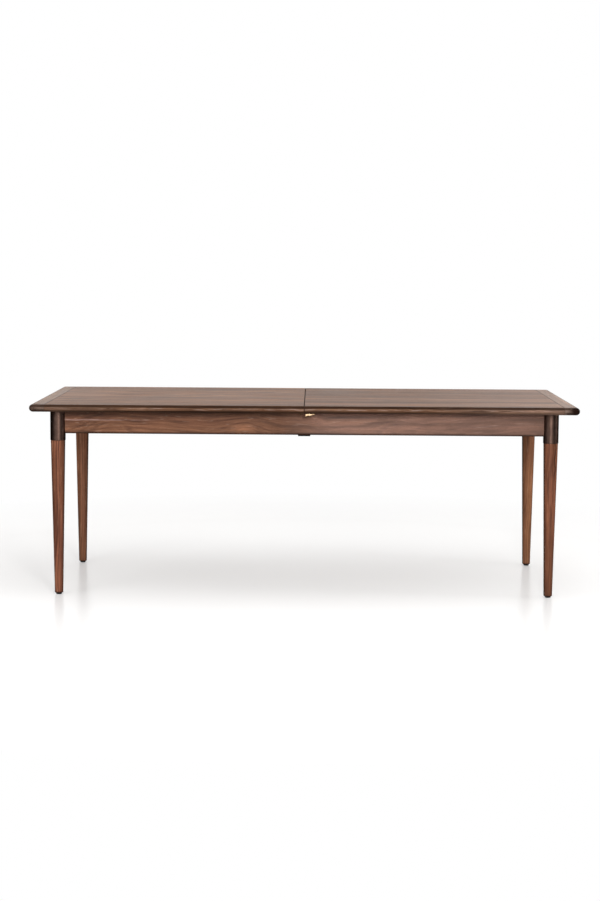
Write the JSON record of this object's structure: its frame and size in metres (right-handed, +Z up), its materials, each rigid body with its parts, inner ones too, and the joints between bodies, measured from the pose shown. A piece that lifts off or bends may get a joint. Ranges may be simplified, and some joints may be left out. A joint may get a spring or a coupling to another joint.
{
  "type": "extending dining table",
  "caption": "Walnut dining table with turned legs in steel caps; the top parts at the middle on geared runners and a folding leaf is stored in the frame.",
  "frame": {"origin": "on the floor, under the centre of the closed table", "axes": "+X along the length of the table, +Y from the front to the back, +Z up"},
  "size_m": [2.134, 1.016, 0.762],
  "materials": {
    "top_walnut": "oiled satin, grain along the length",
    "end_board_walnut": "oiled satin, grain across the table",
    "apron_walnut": "oiled satin",
    "leg_walnut": "oiled satin, turned",
    "beech": "bare sanded",
    "cap_steel": "dark bronzed satin",
    "strap_steel": "matt black",
    "glide_plastic": "matt",
    "bright_steel": "zinc plated",
    "brass": "satin",
    "nylon": "moulded",
    "felt": "pressed"
  },
  "bodies": {
    "base": {"leg_front_left": "leg_walnut", "leg_front_right": "leg_walnut", "leg_back_left": "leg_walnut", "leg_back_right": "leg_walnut", "leg_cap_front_left": "cap_steel", "leg_cap_front_right": "cap_steel", "leg_cap_back_left": "cap_steel", "leg_cap_back_right": "cap_steel", "foot_glides": "glide_plastic", "apron_front": "apron_walnut", "apron_back": "apron_walnut", "apron_left": "apron_walnut", "apron_right": "apron_walnut", "corner_blocks": "beech", "leg_bolts": "bright_steel", "outer_rail_left": "beech", "outer_rail_right": "beech", "inner_rail_left": "beech", "inner_rail_right": "beech", "centre_rail": "beech", "centre_strap": "strap_steel", "strap_screws": "bright_steel", "runner_guides_front": "nylon", "runner_guides_back": "nylon", "top_glide_strips": "nylon", "pinion_axles": "bright_steel", "leaf_panel_lower": "top_walnut", "leaf_panel_upper": "top_walnut", "leaf_hinges": "brass", "leaf_pins": "brass", "leaf_felts": "felt"},
    "top_left": {"top_panel_left": "top_walnut", "end_board_left": "end_board_walnut", "runner_left_front": "beech", "runner_left_back": "beech", "rack_left_front": "bright_steel", "rack_left_back": "bright_steel", "cleats_left": "beech", "runner_screws_left": "bright_steel", "stop_pins_left": "bright_steel", "alignment_pins": "brass", "latch_keeper_front": "brass", "latch_keeper_back": "brass"},
    "top_right": {"top_panel_right": "top_walnut", "end_board_right": "end_board_walnut", "runner_right_front": "beech", "runner_right_back": "beech", "rack_right_front": "bright_steel", "rack_right_back": "bright_steel", "cleats_right": "beech", "runner_screws_right": "bright_steel", "stop_pins_right": "bright_steel", "latch_plate_front": "brass", "latch_plate_back": "brass"},
    "gear_front": {"pinion_front": "bright_steel"},
    "gear_back": {"pinion_back": "bright_steel"},
    "latch_front": {"latch_lever_front": "brass"},
    "latch_back": {"latch_lever_back": "brass"}
  },
  "joints": [
    {"name": "left_slide", "type": "slide", "parent": "base", "child": "top_left", "axis": [-1, 0, 0], "range_m": [0, 0.254]},
    {"name": "right_slide", "type": "slide", "parent": "base", "child": "top_right", "axis": [1, 0, 0], "range_m": [0, 0.254]},
    {"name": "pinion_front_turn", "type": "hinge", "parent": "base", "child": "gear_front", "pos_m": [0, -0.318, 0.714], "axis": [0, 0, -1], "range_deg": [0, 810]},
    {"name": "pinion_back_turn", "type": "hinge", "parent": "base", "child": "gear_back", "pos_m": [0, 0.318, 0.714], "axis": [0, 0, 1], "range_deg": [0, 810]},
    {"name": "latch_front_swing", "type": "hinge", "parent": "top_right", "child": "latch_front", "pos_m": [0.01, -0.478, 0.7295], "axis": [0, 0, 1], "range_deg": [0, 180]},
    {"name": "latch_back_swing", "type": "hinge", "parent": "top_right", "child": "latch_back", "pos_m": [0.01, 0.478, 0.7295], "axis": [0, 0, -1], "range_deg": [0, 180]}
  ],
  "couplings": [
    {"joint": "right_slide", "follows": "left_slide", "ratio": 1},
    {"joint": "pinion_front_turn", "follows": "left_slide", "rad_per_m": 55.556},
    {"joint": "pinion_back_turn", "follows": "left_slide", "rad_per_m": 55.556}
  ]
}
